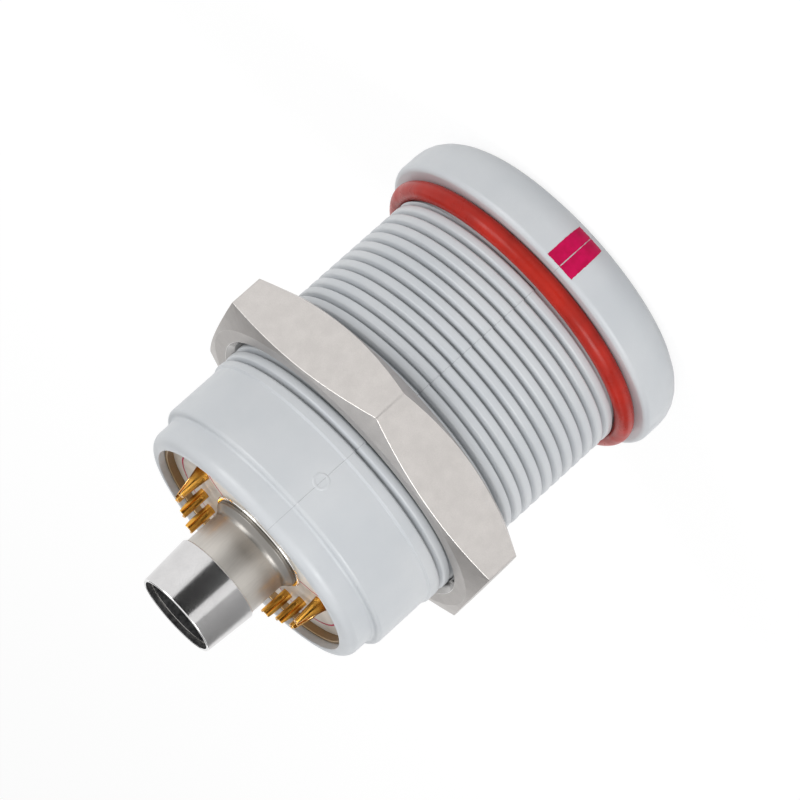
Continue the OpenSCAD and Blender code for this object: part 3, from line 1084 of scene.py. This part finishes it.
def floor_material():
    """White to the camera and to gloss, with a share of plain diffuse that takes the shadow."""
    material = bpy.data.materials.new("floor")
    material.use_nodes = True
    nodes = material.node_tree.nodes
    links = material.node_tree.links
    nodes.clear()
    glow = nodes.new("ShaderNodeEmission")
    glow.inputs["Strength"].default_value = FLOOR_GLOW
    matt = nodes.new("ShaderNodeBsdfDiffuse")
    matt.inputs["Color"].default_value = (FLOOR_MATT, FLOOR_MATT, FLOOR_MATT, 1)
    both = nodes.new("ShaderNodeAddShader")
    links.new(glow.outputs[0], both.inputs[0])
    links.new(matt.outputs[0], both.inputs[1])
    plain = nodes.new("ShaderNodeBsdfDiffuse")
    plain.inputs["Color"].default_value = (0.8, 0.8, 0.8, 1)
    choose = nodes.new("ShaderNodeMixShader")
    links.new(seen_directly(nodes, links), choose.inputs[0])
    links.new(plain.outputs[0], choose.inputs[1])
    links.new(both.outputs[0], choose.inputs[2])
    out = nodes.new("ShaderNodeOutputMaterial")
    links.new(choose.outputs[0], out.inputs[0])
    return material


stage_plane("floor", 6, 6, Matrix.Translation((0, 0, FLOOR_Z)), floor_material())
print("floor laid")

# %% [markdown]
# ## World and lamps
#
# A white world closes the room. Camera and gloss see it at full white, and everything else gets it dimmer,
# so that a colour renders about as it is written. Two soft boxes, right and left of the view, shape the
# round sides.

# %% Light the scene
WORLD_LIGHT = 0.48


def white_world(light):
    """White for camera, gloss and glass, and a plain grey light for everything else."""
    world = bpy.data.worlds.new("studio")
    world.use_nodes = True
    nodes = world.node_tree.nodes
    links = world.node_tree.links
    background = nodes["Background"]
    background.inputs["Color"].default_value = (1, 1, 1, 1)
    level = nodes.new("ShaderNodeMapRange")
    level.inputs["To Min"].default_value = light
    level.inputs["To Max"].default_value = 1.0
    links.new(seen_directly(nodes, links), level.inputs["Value"])
    links.new(level.outputs["Result"], background.inputs["Strength"])
    bpy.context.scene.world = world


def softbox(name, position, size, power):
    lamp = bpy.data.lights.new(name, "AREA")
    lamp.energy = power
    lamp.size = size
    piece = bpy.data.objects.new(name, lamp)
    piece.location = position
    piece.rotation_euler = (Vector(position) - AIM).to_track_quat("Z", "Y").to_euler()
    bpy.context.scene.collection.objects.link(piece)


white_world(WORLD_LIGHT)
softbox("key_light", (0.45, -0.35, 0.35), 0.35, 1.8)
softbox("side_light", (-0.45, -0.3, 0.3), 0.3, 1.8)
bpy.context.scene.view_settings.view_transform = "Standard"
print("two soft boxes placed")

# %% [markdown]
# ## Cards for the metal
#
# Polished metal in an all white room looks like paper. Dark cards in front and behind give the tube and the
# collar their black bands, and a grey one at the side shades their flank. Only reflections see the cards.

# %% Set up the cards
def card_material(shade):
    material = bpy.data.materials.new("card")
    material.use_nodes = True
    material.node_tree.nodes["Principled BSDF"].inputs["Base Color"].default_value = (shade, shade, shade, 1)
    material.node_tree.nodes["Principled BSDF"].inputs["Roughness"].default_value = 1.0
    return material


def card(name, position, width, height, shade=0.01, flat=False):
    """A card that only reflections see, facing the object or lying flat."""
    turn = Vector((0, 0, 1)) if flat else Vector(position) - AIM
    place_at = Matrix.Translation(position) @ turn.to_track_quat("Z", "Y").to_matrix().to_4x4()
    sheet = stage_plane(name, width, height, place_at, card_material(shade))
    sheet.visible_camera = False
    sheet.visible_diffuse = False
    sheet.visible_shadow = False
    sheet.visible_transmission = False


card("card_camera", Vector((0.076, -0.56, 0.11)), 0.62, 0.22)
card("card_behind", Vector((0, 0.4, 0.45)), 0.9, 0.35)
card("card_floor", Vector((0.06, -0.43, 0.001)), 0.5, 0.26, flat=True)
card("card_side", Vector((-0.299, 0.026, 0.08)), 0.72, 0.16, 0.4)
print("cards set up")
